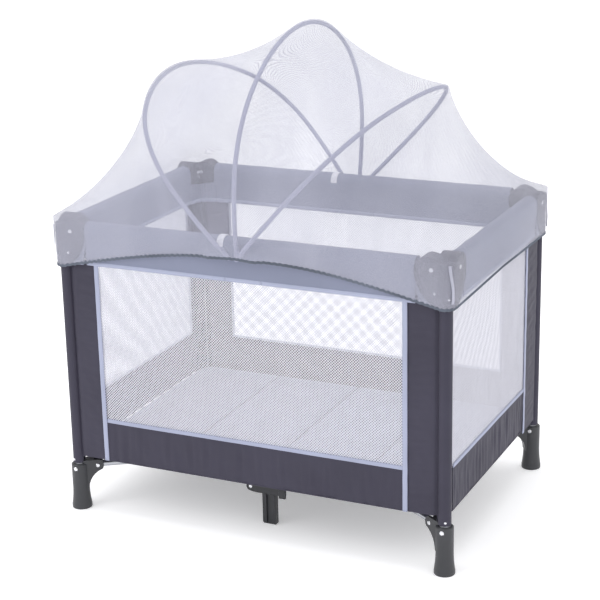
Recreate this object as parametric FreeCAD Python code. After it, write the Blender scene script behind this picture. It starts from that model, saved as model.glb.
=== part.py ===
import FreeCAD, Part
import math
import os

# Travel play yard with a bassinet-height rail, four-panel mattress and a hooped insect net.
# Millimetres, +Z up, origin on the floor at the centre of the yard, long side along X,
# front side at -Y.  The frame folds like an umbrella: the hub rises, the rails drop in a V.

V = FreeCAD.Vector

# ---- driving dimensions -------------------------------------------------------------------
POST_X = 486.0          # post axes, half spacing along the long side
POST_Y = 332.0          # post axes, half spacing along the short side
POST_R = 13.0
POST_WALL = 1.6
POST_BOTTOM = 20.0
POST_TOP = 736.0

FOOT_H = 119.0
FOOT_R = 21.0
FOOT_FLARE_R = 25.0
FOOT_PIVOT = 44.0       # foot pivot, inward from the post axis along the diagonal
EAR_R = 15.0
EAR_HALF = 13.5

BASE_Z = 112.0          # height of every pivot of the base linkage
BASE_TUBE_R = 8.0
BASE_TUBE_WALL = 1.2
HUB_R = 62.0
HUB_BOTTOM = 99.0
HUB_TOP = 128.0
HUB_PIVOT = 46.0        # hub pivots, out from the centre
SLOT_HALF = 8.6         # half width of the slots that the base tubes turn in
MID_LEG_Y = 240.0       # pivots of the two middle legs

RAIL_Z = 727.0
RAIL_R = 10.0
RAIL_WALL = 1.4
CAP_PIVOT = 28.0        # rail pivot in the corner cap, inward from the post axis
LATCH_LONG = 46.3       # half spacing of the latch pivots on the long rails
LATCH_SHORT = 22.7      # and on the short rails: both make the fold close exactly
LATCH_HALF = 14.5
LATCH_BOTTOM = 709.0
LATCH_TOP = 741.0
CHANNEL_HALF = 10.7     # half width of the channel that a rail turns in
CHANNEL_TOP = 738.3

CAP_R = 22.0
CAP_BOTTOM = 640.0
CAP_REACH = 68.0
PIN_R = 3.0
PIN_HOLE_R = 3.2
HEAD_R = 5.5
HEAD_H = 1.6

COVER_HALF = 21.0       # padded rail cover, half depth and radius of its round top
COVER_WALL = 4.0
COVER_BOTTOM = 652.0
COVER_TOP = 751.0
COVER_GAP = 2.0

WALL_T = 2.0
WALL_GAP = 0.2
WALL_BOTTOM = 145.5
WALL_TOP = 651.0
CAP_NOTCH = 46.0        # length of the notch at each top corner of a wall

FLOOR_Z = 143.0
FLOOR_T = 2.0
MAT_X = 476.0
MAT_Y = 320.0
MAT_BOTTOM = 146.5
MAT_TOP = 166.5
MAT_GAP = 1.0
MAT_CORNER_R = 45.0

HOOP_TUBE_R = 4.5
HOOP_Z = 705.0
HOOP_NAMES = ("left", "centre", "right")
HOOP_PIVOT_X = {"left": -34.0, "centre": -11.0, "right": -11.0}
HOOP_LEAN = {"left": -39.0, "centre": 2.0, "right": 43.0}
HOOP_WIDE = {"left": 379.0, "centre": 371.0, "right": 385.0}      # half width at the shoulders
HOOP_RISE = {"left": 477.0, "centre": 487.0, "right": 458.0}      # crown above the pivots
HOOP_SHOULDER = {"left": 190.0, "centre": 160.0, "right": 200.0}  # shoulders above the pivots
HOOP_SHOULDER_R = {"left": 250.0, "centre": 300.0, "right": 240.0}
HOOP_TAB = {"left": 354.0, "centre": 356.4, "right": 358.8}   # inner faces of the end tabs
TAB_T = 2.0
TAB_TOP = 22.0          # the round hoop starts this far above its pivot

NET_T = 1.4
NET_OFFSET = 9.0        # net outside the hoop's centre line
NET_X = 512.0
NET_Y = 358.0
NET_RIM_Z = 759.0
NET_BULGE = 17.0        # outward bulge of the rim over the hoop ends
NET_BULGE_X = 110.0
NET_BULGE_HEM = 0.95    # share of that bulge left at the hem
HEM_CORNER_Z = 640.0
HEM_RISE_FRONT = 68.0
HEM_SIDE_Z = 646.0

X_AXIS = V(1, 0, 0)
Y_AXIS = V(0, 1, 0)
Z_AXIS = V(0, 0, 1)
ORIGIN = V(0, 0, 0)
DIAGONAL = math.hypot(POST_X, POST_Y)
DIAGONAL_DEG = math.degrees(math.atan2(POST_Y, POST_X))
CORNERS = {"fl": (-1, -1), "fr": (1, -1), "br": (1, 1), "bl": (-1, 1)}

nodes = {}


# ---- small helpers --------------------------------------------------------------------------
def box(x0, x1, y0, y1, z0, z1):
    return Part.makeBox(x1 - x0, y1 - y0, z1 - z0, V(x0, y0, z0))


def cylinder(start, direction, radius, length):
    return Part.makeCylinder(radius, length, start, direction)


def pin(centre, direction, radius, half_length):
    """Round pin, centred on a point."""
    unit = V(direction)
    unit.normalize()
    return cylinder(centre - unit * half_length, unit, radius, 2 * half_length)


def headed_pin(centre, direction, half_length, hole_r=PIN_R):
    """Rivet with a low round head on each end; half_length is to the underside of a head."""
    unit = V(direction)
    unit.normalize()
    body = pin(centre, unit, hole_r, half_length)
    for side in (-1, 1):
        start = centre + unit * (side * half_length)
        head = Part.makeCone(HEAD_R, HEAD_R - 1.5, HEAD_H, start, unit * side)
        body = body.fuse(head)
    return body


def extruded(points_or_edges, normal, half):
    """Closed outline, extruded equally to both sides of its plane."""
    wire = Part.Wire(points_or_edges)
    unit = V(normal)
    unit.normalize()
    solid = Part.Face(wire).extrude(unit * (2 * half))
    solid.translate(unit * -half)
    return solid


def arc(a, b, c):
    return Part.Arc(a, b, c).toShape()


def line(a, b):
    return Part.makeLine(a, b)


def to_corner(shape, side):
    """From the corner's own frame (post on the Z axis, inward is +X and +Y) to one corner."""
    sx, sy = side
    if sx > 0:
        shape = shape.mirror(ORIGIN, X_AXIS)
    if sy > 0:
        shape = shape.mirror(ORIGIN, Y_AXIS)
    placed = shape.copy()
    placed.translate(V(sx * POST_X, sy * POST_Y, 0))
    return placed


def link_tube(start, end, radius, wall, pin_axis):
    """Tube with solid round ends about its two pivots, and a pin hole through each."""
    along = end - start
    length = along.Length
    unit = V(along)
    unit.normalize()
    plug = 2.2 * radius
    tube = cylinder(start, unit, radius, length)
    tube = tube.fuse([Part.makeSphere(radius, start), Part.makeSphere(radius, end)])
    tube = tube.cut(cylinder(start + unit * plug, unit, radius - wall, length - 2 * plug))
    for pivot in (start, end):
        tube = tube.cut(pin(pivot, pin_axis, PIN_HOLE_R, 2 * radius))
    return tube.removeSplitter()


# ---- corners: post, foot, cap and rivets ------------------------------------------------------
def post():
    length = POST_TOP - POST_BOTTOM
    outer = cylinder(V(0, 0, POST_BOTTOM), Z_AXIS, POST_R, length)
    tube = outer.cut(cylinder(V(0, 0, POST_BOTTOM), Z_AXIS, POST_R - POST_WALL, length))
    return tube.cut(pin(V(0, 0, FOOT_H - 11), Y_AXIS, PIN_R, 2 * POST_R))


def foot():
    """Moulded foot: flared column, and an ear towards the centre that holds the base tube."""
    profile = [
        line(V(0, 0, 0), V(FOOT_FLARE_R - 1, 0, 0)),
        line(V(FOOT_FLARE_R - 1, 0, 0), V(FOOT_FLARE_R, 0, 1.5)),
        line(V(FOOT_FLARE_R, 0, 1.5), V(FOOT_FLARE_R, 0, 9)),
        arc(V(FOOT_FLARE_R, 0, 9), V(FOOT_R + 1.2, 0, 30), V(FOOT_R, 0, 60)),
        line(V(FOOT_R, 0, 60), V(FOOT_R, 0, FOOT_H - 2)),
        line(V(FOOT_R, 0, FOOT_H - 2), V(FOOT_R - 2, 0, FOOT_H)),
        line(V(FOOT_R - 2, 0, FOOT_H), V(0, 0, FOOT_H)),
        line(V(0, 0, FOOT_H), V(0, 0, 0)),
    ]
    column = Part.Face(Part.Wire(profile)).revolve(ORIGIN, Z_AXIS, 360)
    tip = V(FOOT_PIVOT, 0, BASE_Z)
    slant = EAR_R * math.sqrt(0.5)
    ear = extruded([
        line(V(8, 0, BASE_Z + EAR_R), V(FOOT_PIVOT, 0, BASE_Z + EAR_R)),
        arc(V(FOOT_PIVOT, 0, BASE_Z + EAR_R), tip + V(EAR_R, 0, 0), tip + V(slant, 0, -slant)),
        arc(tip + V(slant, 0, -slant), V(31, 0, 84), V(FOOT_R - 1, 0, 52)),
        line(V(FOOT_R - 1, 0, 52), V(8, 0, 52)),
        line(V(8, 0, 52), V(8, 0, BASE_Z + EAR_R)),
    ], Y_AXIS, EAR_HALF)
    slot_floor = BASE_Z - SLOT_HALF
    slot = box(FOOT_PIVOT - SLOT_HALF, 90, -SLOT_HALF, SLOT_HALF, slot_floor, 160)
    ear = ear.cut([slot, pin(tip, Y_AXIS, PIN_HOLE_R, 2 * EAR_HALF)])
    ear.rotate(ORIGIN, Z_AXIS, DIAGONAL_DEG)
    body = column.fuse(ear)
    body = body.cut(cylinder(V(0, 0, POST_BOTTOM), Z_AXIS, POST_R, FOOT_H + 20))
    body = body.cut(pin(V(0, 0, FOOT_H - 11), Y_AXIS, PIN_R, 2 * FOOT_R))
    return body.removeSplitter()


def cap_lobe(direction, normal):
    """Half-heart lobe of the corner cap along one rail, in the rail's vertical plane."""
    def at(reach, z):
        return direction * reach + V(0, 0, z)
    return extruded([
        line(at(0, CAP_BOTTOM), at(13, CAP_BOTTOM)),
        arc(at(13, CAP_BOTTOM), at(52, 674), at(CAP_REACH, 718)),
        arc(at(CAP_REACH, 718), at(61, 745), at(42, 757)),
        arc(at(42, 757), at(22, 753), at(6, 743)),
        line(at(6, 743), at(0, 743)),
        line(at(0, 743), at(0, CAP_BOTTOM)),
    ], normal, CAP_R)


def cap():
    """Corner cap: column over the post, and two lobes that fork round the ends of the rails."""
    body = cylinder(V(0, 0, CAP_BOTTOM), Z_AXIS, CAP_R, 743 - CAP_BOTTOM)
    body = body.fuse([cap_lobe(X_AXIS, Y_AXIS), cap_lobe(Y_AXIS, X_AXIS)])
    slot_start = CAP_PIVOT - CHANNEL_HALF
    top = RAIL_Z + CHANNEL_HALF
    half = CHANNEL_HALF
    body = body.cut([
        box(slot_start, 90, -half, half, 600, top),
        box(-half, half, slot_start, 90, 600, top),
        cylinder(V(0, 0, 600), Z_AXIS, POST_R, POST_TOP - 600),
        pin(V(CAP_PIVOT, 0, RAIL_Z), Y_AXIS, PIN_HOLE_R, 30),
        pin(V(0, CAP_PIVOT, RAIL_Z), X_AXIS, PIN_HOLE_R, 30),
    ])
    return body.removeSplitter()


def corner_rivets():
    """Pivot pins of both rails and of the base tube, and the rivet that holds foot to post."""
    ear_axis = V(-math.sin(math.radians(DIAGONAL_DEG)), math.cos(math.radians(DIAGONAL_DEG)), 0)
    ear_pivot = V(ear_axis.y * FOOT_PIVOT, -ear_axis.x * FOOT_PIVOT, BASE_Z)
    return Part.makeCompound([
        headed_pin(V(CAP_PIVOT, 0, RAIL_Z), Y_AXIS, CAP_R),
        headed_pin(V(0, CAP_PIVOT, RAIL_Z), X_AXIS, CAP_R),
        headed_pin(ear_pivot, ear_axis, EAR_HALF),
        headed_pin(V(0, 0, FOOT_H - 11), Y_AXIS, FOOT_R),
    ])


# ---- base linkage ------------------------------------------------------------------------------
def unit_to(side):
    """Outward unit vector from the centre to a corner, or along an axis."""
    return V(side[0] * POST_X, side[1] * POST_Y, 0) * (1 / math.hypot(side[0] * POST_X, side[1] * POST_Y))


def hub():
    """Centre hub: a round housing with six slots, open below, that the tubes turn down in."""
    body = cylinder(V(0, 0, HUB_BOTTOM), Z_AXIS, HUB_R, HUB_TOP - HUB_BOTTOM)
    body = body.makeFillet(4, [body.Edges[0]])
    ceiling = BASE_Z + SLOT_HALF
    slot = box(HUB_PIVOT - SLOT_HALF, HUB_R + 10, -SLOT_HALF, SLOT_HALF, HUB_BOTTOM - 1, ceiling)
    for outward in ARM_DIRECTIONS:
        cutter = slot.copy()
        cutter.rotate(ORIGIN, Z_AXIS, math.degrees(math.atan2(outward.y, outward.x)))
        body = body.cut(cutter)
        across = V(-outward.y, outward.x, 0)
        body = body.cut(pin(outward * HUB_PIVOT + V(0, 0, BASE_Z), across, PIN_R, 13))
    return body.removeSplitter()


def hub_pins():
    pins = []
    for outward in ARM_DIRECTIONS:
        across = V(-outward.y, outward.x, 0)
        pins.append(pin(outward * HUB_PIVOT + V(0, 0, BASE_Z), across, PIN_R, 13))
    return Part.makeCompound(pins)


def base_tube(side):
    outward = unit_to(side)
    start = outward * (DIAGONAL - FOOT_PIVOT) + V(0, 0, BASE_Z)
    end = outward * HUB_PIVOT + V(0, 0, BASE_Z)
    return link_tube(start, end, BASE_TUBE_R, BASE_TUBE_WALL, V(-outward.y, outward.x, 0))


def mid_arm(sy):
    start = V(0, sy * MID_LEG_Y, BASE_Z)
    end = V(0, sy * HUB_PIVOT, BASE_Z)
    return link_tube(start, end, BASE_TUBE_R, BASE_TUBE_WALL, X_AXIS)


def mid_leg():
    """Middle leg, drawn at the front: forked head on a cross bar, and a ribbed leg to the floor."""
    head = box(-17, 17, -9, 12, BASE_Z - 14, BASE_Z + 14)
    bar = box(-42, 42, -9, -5, BASE_Z - 2, BASE_Z + 22)
    bar = bar.makeFillet(1.5, [e for e in bar.Edges if abs(e.Length - 4) < 0.01])
    leg = box(-16.5, 16.5, -8, -5, 0, BASE_Z)
    parts = [bar, leg, box(-16.5, -13.5, -8, 8, 0, BASE_Z), box(13.5, 16.5, -8, 8, 0, BASE_Z)]
    parts.append(box(-16.5, 16.5, -8, 8, 0, 5))
    for step in range(1, 4):
        z = 5 + step * 22
        parts.append(box(-16.5, 16.5, -8, 8, z, z + 3))
    body = head.fuse(parts)
    body = body.cut([
        box(-SLOT_HALF, SLOT_HALF, -SLOT_HALF + 3, 20, BASE_Z - SLOT_HALF, BASE_Z + 30),
        box(-SLOT_HALF, SLOT_HALF, -SLOT_HALF, 20, BASE_Z - SLOT_HALF, BASE_Z + 15),
        pin(V(0, 0, BASE_Z), X_AXIS, PIN_HOLE_R, 30),
    ])
    body = body.removeSplitter()
    leg_solid = Part.makeCompound([body, headed_pin(V(0, 0, BASE_Z), X_AXIS, 17)])
    leg_solid.translate(V(0, -MID_LEG_Y, 0))
    return leg_solid


def lift_strap():
    """Flat webbing loop that lies folded on the hub and is pulled up to fold the base."""
    strap = box(-12.5, 12.5, -50, 50, HUB_TOP + 0.2, HUB_TOP + 2.0)
    upper = box(-12.5, 12.5, -50, 50, HUB_TOP + 6.2, HUB_TOP + 8.0)
    ends = [
        box(-12.5, 12.5, -50, -48.2, HUB_TOP + 0.2, HUB_TOP + 8.0),
        box(-12.5, 12.5, 48.2, 50, HUB_TOP + 0.2, HUB_TOP + 8.0),
    ]
    return strap.fuse([upper] + ends).removeSplitter()


# ---- top rails, latches and their buttons ---------------------------------------------------------
def turned(shape, name):
    """From the front rail's place (drawn at the origin, outward -Y) to one side of the yard."""
    angle, offset = RAIL_PLACES[name]
    placed = shape.copy()
    placed.rotate(ORIGIN, Z_AXIS, angle)
    placed.translate(offset)
    return placed


def half_rail(post_half, latch_half, end):
    start = V(end * (post_half - CAP_PIVOT), 0, RAIL_Z)
    stop = V(end * latch_half, 0, RAIL_Z)
    return link_tube(start, stop, RAIL_R, RAIL_WALL, Y_AXIS)


def latch(latch_half):
    """Housing over the two inner rail ends: forked at both ends, so that a rail can turn up."""
    reach = latch_half + 13
    body = box(-reach, reach, -LATCH_HALF, LATCH_HALF, LATCH_BOTTOM, LATCH_TOP)
    top_edges = [e for e in body.Edges if min(v.Z for v in e.Vertexes) > LATCH_TOP - 1]
    body = body.makeFillet(4, top_edges)
    half = CHANNEL_HALF
    slot_start = latch_half - half
    body = body.cut([
        box(-reach - 1, reach + 1, -half, half, LATCH_BOTTOM - 1, CHANNEL_TOP),
        box(slot_start, reach + 1, -half, half, LATCH_BOTTOM, LATCH_TOP + 1),
        box(-reach - 1, -slot_start, -half, half, LATCH_BOTTOM, LATCH_TOP + 1),
    ])
    pins = []
    for end in (-1, 1):
        pivot = V(end * latch_half, 0, RAIL_Z)
        body = body.cut(pin(pivot, Y_AXIS, PIN_R, LATCH_HALF + 2))
        pins.append(pin(pivot, Y_AXIS, PIN_R, LATCH_HALF))
    return Part.makeCompound([body.removeSplitter()] + pins)


def release_button(latch_half):
    """Button under the latch, squeezed up between the rail ends to free them."""
    half = latch_half - 12
    key = box(-half, half, -9.8, 9.8, LATCH_BOTTOM - 9, RAIL_Z - 4)
    edges = [e for e in key.Edges if max(v.Z for v in e.Vertexes) < LATCH_BOTTOM]
    return key.makeFillet(3, edges)


def rail_cover(half_length):
    """Padded sleeve round a rail: round top, straight sides, hollow so the latch fits inside."""
    def ring(inset):
        half = COVER_HALF - inset
        shoulder = COVER_TOP - COVER_HALF
        bottom = COVER_BOTTOM + inset
        return Part.Face(Part.Wire([
            line(V(-half_length, -half, bottom), V(-half_length, half, bottom)),
            line(V(-half_length, half, bottom), V(-half_length, half, shoulder)),
            arc(V(-half_length, half, shoulder), V(-half_length, 0, shoulder + half),
                V(-half_length, -half, shoulder)),
            line(V(-half_length, -half, shoulder), V(-half_length, -half, bottom)),
        ]))
    section = ring(0).cut(ring(COVER_WALL))
    return section.extrude(V(2 * half_length, 0, 0)).Solids[0]


# ---- fabric box ----------------------------------------------------------------------------------
def side_wall(post_half):
    """Upright sheet outside two posts, with its top corners cut away under the corner caps."""
    face = POST_R + WALL_GAP
    sheet = box(-post_half, post_half, -face - WALL_T, -face, WALL_BOTTOM, WALL_TOP)
    notch = post_half - CAP_NOTCH
    return sheet.cut([
        box(notch, post_half + 1, -face - 5, -face + 5, CAP_BOTTOM - 1, WALL_TOP + 1),
        box(-post_half - 1, -notch, -face - 5, -face + 5, CAP_BOTTOM - 1, WALL_TOP + 1),
    ])


def floor_fabric():
    sheet = box(-MAT_X, MAT_X, -MAT_Y, MAT_Y, FLOOR_Z, FLOOR_Z + FLOOR_T)
    corners = [e for e in sheet.Edges if abs(e.Length - FLOOR_T) < 0.01]
    return sheet.makeFillet(MAT_CORNER_R, corners)


def mattress_panel(index):
    width = MAT_X / 2
    x0 = -MAT_X + index * width
    panel = box(x0 + MAT_GAP, x0 + width - MAT_GAP, -MAT_Y, MAT_Y, MAT_BOTTOM, MAT_TOP)
    outer_x = {0: x0 + MAT_GAP, 3: x0 + width - MAT_GAP}.get(index)
    if outer_x is None:
        return panel
    corners = []
    for edge in panel.Edges:
        upright = abs(edge.Length - (MAT_TOP - MAT_BOTTOM)) < 0.01
        if upright and abs(edge.Vertexes[0].X - outer_x) < 0.01:
            corners.append(edge)
    return panel.makeFillet(MAT_CORNER_R, corners)


# ---- insect net and its hoops ---------------------------------------------------------------------
def lean_frame(name):
    lean = math.radians(HOOP_LEAN[name])
    return V(math.sin(lean), 0, math.cos(lean))


def hoop_arcs(name, offset, start_height):
    """Half a hoop in its own plane, foot to crown: leg, shoulder and crown, each tangent to the next.

    Each arc is its centre across and up, its radius, and the angles it runs between."""
    wide = HOOP_WIDE[name]
    height = HOOP_SHOULDER[name]
    shoulder_r = HOOP_SHOULDER_R[name]
    inset = wide - HOOP_TAB[name] - TAB_T / 2
    leg_r = (height ** 2 + inset ** 2) / (2 * inset)
    rise = HOOP_RISE[name] - height - shoulder_r
    drop = ((wide - shoulder_r) ** 2 - rise ** 2) / (2 * rise)
    turn = math.atan2(drop, wide - shoulder_r)
    start = -math.asin((height - start_height) / (leg_r + offset))
    return [
        (wide - leg_r, height, leg_r + offset, start, 0.0),
        (wide - shoulder_r, height, shoulder_r + offset, 0.0, turn),
        (0.0, height - drop, HOOP_RISE[name] - height + drop + offset, turn, math.pi / 2),
    ]


def in_hoop_plane(name, across, height):
    return V(HOOP_PIVOT_X[name], across, HOOP_Z) + lean_frame(name) * height


def on_arc(name, side, part, angle):
    """Point of one arc of a hoop, on the front (-1) or back (1) half."""
    centre, height, radius = part[:3]
    return in_hoop_plane(name, side * (centre + radius * math.cos(angle)), height + radius * math.sin(angle))


def hoop(name):
    """One hoop: a tube along five arcs in a leaning plane, with a flat tab at each end."""
    leg, shoulder, crown = hoop_arcs(name, 0.0, TAB_TOP)
    pieces = {}
    for side in (-1, 1):
        for key, part in (("leg", leg), ("shoulder", shoulder)):
            low, high = part[3:]
            ends = [on_arc(name, side, part, angle) for angle in (low, (low + high) / 2, high)]
            pieces[(key, side)] = arc(*ends)
    crown_ends = [on_arc(name, -1, crown, crown[3]), on_arc(name, 1, crown, crown[4])]
    pieces["crown"] = arc(crown_ends[0], crown_ends[1], on_arc(name, 1, crown, crown[3]))
    path = Part.Wire([
        pieces[("leg", -1)], pieces[("shoulder", -1)], pieces["crown"],
        pieces[("shoulder", 1)], pieces[("leg", 1)],
    ])
    foot = on_arc(name, -1, leg, leg[3])
    tangent = on_arc(name, -1, leg, leg[3] + 0.001) - foot
    ring = Part.Wire([Part.Circle(foot, tangent, HOOP_TUBE_R).toShape()])
    tube = path.makePipeShell([ring], True, False)
    body = tube if tube.ShapeType == "Solid" else Part.Solid(tube)
    inner = HOOP_TAB[name]
    for side in (-1, 1):
        outline = box(-6, 6, 0, TAB_T, 0, TAB_TOP + 8).fuse(cylinder(ORIGIN, Y_AXIS, 6, TAB_T))
        outline = outline.cut(cylinder(V(0, -1, 0), Y_AXIS, PIN_HOLE_R - 1, TAB_T + 2))
        outline.rotate(ORIGIN, Y_AXIS, HOOP_LEAN[name])
        y = inner if side > 0 else -inner - TAB_T
        outline.translate(V(HOOP_PIVOT_X[name], y, HOOP_Z))
        body = body.fuse(outline)
    return body.removeSplitter()


def hoop_pins():
    """Short pins that the three hoops turn on: the centre and right hoops share theirs."""
    pins = []
    for side in (-1, 1):
        for name in ("left", "centre"):
            centre = V(HOOP_PIVOT_X[name], side * (HOOP_TAB["centre"] + TAB_T / 2), HOOP_Z)
            pins.append(pin(centre, Y_AXIS, PIN_R - 1, 3.8))
    return pins


def net_line(name, parts):
    """Points of the net over a hoop at given shares of its length, front rim to back rim."""
    rim_height = (NET_RIM_Z - HOOP_Z) / lean_frame(name).z
    half = {-1: [], 1: []}
    for part in hoop_arcs(name, NET_OFFSET, rim_height):
        for step in range(40):
            angle = part[3] + (part[4] - part[3]) * step / 40
            for side in half:
                half[side].append(on_arc(name, side, part, angle))
    path = half[-1] + [on_arc(name, 1, part, part[4])] + half[1][::-1]
    along = shares(path)
    line_points = []
    for share in parts:
        k = 0
        while k < len(path) - 2 and along[k + 1] < share:
            k += 1
        t = (share - along[k]) / (along[k + 1] - along[k])
        line_points.append(path[k] * (1 - t) + path[k + 1] * t)
    return line_points


def rim_y(x):
    return NET_Y + NET_BULGE * math.exp(-(x / NET_BULGE_X) ** 2)


def rim_side(end, first_x):
    """Rim of one end of the net, from the front hoop foot round to the back one."""
    along, across, turn = 7, 8, 3
    r = NET_X - POST_X
    front = []
    for step in range(along):
        x = first_x + (end * POST_X - first_x) * step / along
        front.append(V(x, -rim_y(x), NET_RIM_Z))
    for step in range(turn):
        angle = math.radians(90) * step / turn
        front.append(V(end * (POST_X + r * math.sin(angle)), -POST_Y - r * math.cos(angle), NET_RIM_Z))
    half = []
    for step in range(across // 2):
        half.append(V(end * NET_X, -POST_Y * (1 - 2 * step / across), NET_RIM_Z))
    path = front + half
    back = [V(p.x, -p.y, p.z) for p in reversed(path)]
    return path + [V(end * NET_X, 0, NET_RIM_Z)] + back


def shares(path):
    """Share of the path's length at each of its points."""
    lengths = [0.0]
    for a, b in zip(path, path[1:]):
        lengths.append(lengths[-1] + a.distanceToPoint(b))
    return [value / lengths[-1] for value in lengths]


def net_panel(edge_a, edge_b, rows, sag):
    """Grid of points between two edges, pulled in a little between them as a film is."""
    grid = []
    for row in range(rows + 1):
        t = row / rows
        points = []
        for a, b in zip(edge_a, edge_b):
            middle = a * (1 - t) + b * t
            pull = 4 * t * (1 - t) * sag * a.distanceToPoint(b)
            inward = V(HOOP_PIVOT_X["centre"], 0, HOOP_Z) - middle
            inward.normalize()
            points.append(middle + inward * pull)
        grid.append(points)
    return grid


def hem_z(p):
    """Height of the hem: an arch along the long sides, level along the short ones."""
    if abs(p.x) >= POST_X:
        return HEM_SIDE_Z - 6 * abs(p.y) / POST_Y
    return HEM_CORNER_Z + HEM_RISE_FRONT * math.cos(0.5 * math.pi * p.x / POST_X)


def hem_point(p):
    """Point of the hem below a point of the rim: most of the bulge over the hoop ends is gone."""
    bulge = max(0.0, abs(p.y) - NET_Y)
    return V(p.x, math.copysign(abs(p.y) - bulge * (1 - NET_BULGE_HEM), p.y), hem_z(p))


def thick_sheet(grids, thickness):
    """Closed solid of one even thickness from grids of points that share their edges."""
    index = {}
    points = []
    faces = []

    def number(p):
        key = (round(p.x, 2), round(p.y, 2), round(p.z, 2))
        if key not in index:
            index[key] = len(points)
            points.append(V(p))
        return index[key]

    for grid in grids:
        for low, high in zip(grid, grid[1:]):
            for k in range(len(low) - 1):
                corner = [number(low[k]), number(low[k + 1]), number(high[k + 1]), number(high[k])]
                faces.append((corner[0], corner[1], corner[2]))
                faces.append((corner[0], corner[2], corner[3]))
    faces = [f for f in faces if len(set(f)) == 3]
    normals = [V(0, 0, 0) for _ in points]
    for a, b, c in faces:
        normal = (points[b] - points[a]).cross(points[c] - points[a])
        for k in (a, b, c):
            normals[k] = normals[k] + normal
    for normal in normals:
        normal.normalize()
    count = len(points)
    outer = [p + n * (thickness / 2) for p, n in zip(points, normals)]
    inner = [p - n * (thickness / 2) for p, n in zip(points, normals)]
    edges = {}
    for a, b, c in faces:
        for pair in ((a, b), (b, c), (c, a)):
            edges[pair] = True
    rim = [pair for pair in edges if (pair[1], pair[0]) not in edges]
    triangles = list(faces) + [(c + count, b + count, a + count) for a, b, c in faces]
    for a, b in rim:
        triangles.append((b, a, a + count))
        triangles.append((b, a + count, b + count))
    shape = Part.Shape()
    shape.makeShapeFromMesh((outer + inner, triangles), 0.001)
    solid = Part.Solid(Part.Shell(shape.Faces))
    if solid.Volume < 0:
        solid.reverse()
    return solid


def net():
    """Insect net: film over the three hoops, a rim round the rails and a skirt to the hem."""
    left_rim = rim_side(-1, net_line("left", [0])[0].x)
    right_rim = rim_side(1, net_line("right", [0])[0].x)
    parts = shares(left_rim)
    rim = {"left": left_rim, "right": right_rim}
    lines = {name: net_line(name, parts) for name in HOOP_NAMES}
    for name in rim:
        rim[name][0] = lines[name][0]
        rim[name][-1] = lines[name][-1]
    grids = [
        net_panel(rim["left"], lines["left"], 4, 0.05),
        net_panel(lines["left"], lines["centre"], 3, 0.04),
        net_panel(lines["centre"], lines["right"], 3, 0.04),
        net_panel(lines["right"], rim["right"], 4, 0.05),
    ]
    inner_front = [g[0] for g in grids[1]] + [g[0] for g in grids[2]][1:]
    inner_back = [g[-1] for g in grids[1]] + [g[-1] for g in grids[2]][1:]
    loop = rim["left"][::-1] + inner_front[1:-1] + rim["right"] + inner_back[::-1][1:]
    hem = [hem_point(p) for p in loop]
    grids.append([loop, hem])
    return thick_sheet(grids, NET_T)


# ---- build every node ---------------------------------------------------------------------------
ARM_DIRECTIONS = [unit_to(side) for side in CORNERS.values()] + [V(0, -1, 0), V(0, 1, 0)]
RAIL_PLACES = {
    "front": (0, V(0, -POST_Y, 0)),
    "right": (90, V(POST_X, 0, 0)),
    "back": (180, V(0, POST_Y, 0)),
    "left": (270, V(-POST_X, 0, 0)),
}
RAIL_ENDS = {
    "front": {"left": -1, "right": 1},
    "right": {"front": -1, "back": 1},
    "back": {"right": -1, "left": 1},
    "left": {"back": -1, "front": 1},
}

for key, side in CORNERS.items():
    nodes["post_" + key] = to_corner(post(), side)
    nodes["foot_" + key] = to_corner(foot(), side)
    nodes["cap_" + key] = to_corner(cap(), side)
    nodes["rivets_" + key] = to_corner(corner_rivets(), side)
    nodes["base_tube_" + key] = base_tube(side)

nodes["hub"] = hub()
nodes["hub_pins"] = hub_pins()
nodes["lift_strap"] = lift_strap()
nodes["mid_arm_front"] = mid_arm(-1)
nodes["mid_arm_back"] = mid_arm(1)
nodes["mid_leg_front"] = mid_leg()
nodes["mid_leg_back"] = mid_leg().mirror(ORIGIN, Y_AXIS)

for name in RAIL_PLACES:
    long_side = name in ("front", "back")
    post_half = POST_X if long_side else POST_Y
    latch_half = LATCH_LONG if long_side else LATCH_SHORT
    for end_name, end in RAIL_ENDS[name].items():
        nodes["rail_%s_%s" % (name, end_name)] = turned(half_rail(post_half, latch_half, end), name)
    nodes["latch_" + name] = turned(latch(latch_half), name)
    nodes["button_" + name] = turned(release_button(latch_half), name)
    nodes["rail_cover_" + name] = turned(rail_cover(post_half - CAP_REACH - COVER_GAP), name)
    nodes["wall_" + name] = turned(side_wall(post_half), name)

nodes["floor_fabric"] = floor_fabric()
for panel in range(4):
    nodes["mattress_panel_%d" % (panel + 1)] = mattress_panel(panel)
for name in HOOP_NAMES:
    nodes["hoop_" + name] = hoop(name)
nodes["hoop_centre"] = Part.makeCompound([nodes["hoop_centre"]] + hoop_pins())
nodes["insect_net"] = net()

os.makedirs("parts", exist_ok=True)
for name, shape in nodes.items():
    shape.exportStep("parts/%s.step" % name)
    box_now = shape.BoundBox
    print("%-20s valid=%s solids=%d volume=%.0f z %.0f..%.0f" % (
        name, shape.isValid(), len(shape.Solids), shape.Volume, box_now.ZMin, box_now.ZMax))
print(len(nodes), "nodes")
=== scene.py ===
import math

import bpy
import numpy as np
from mathutils import Matrix, Vector, noise


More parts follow.
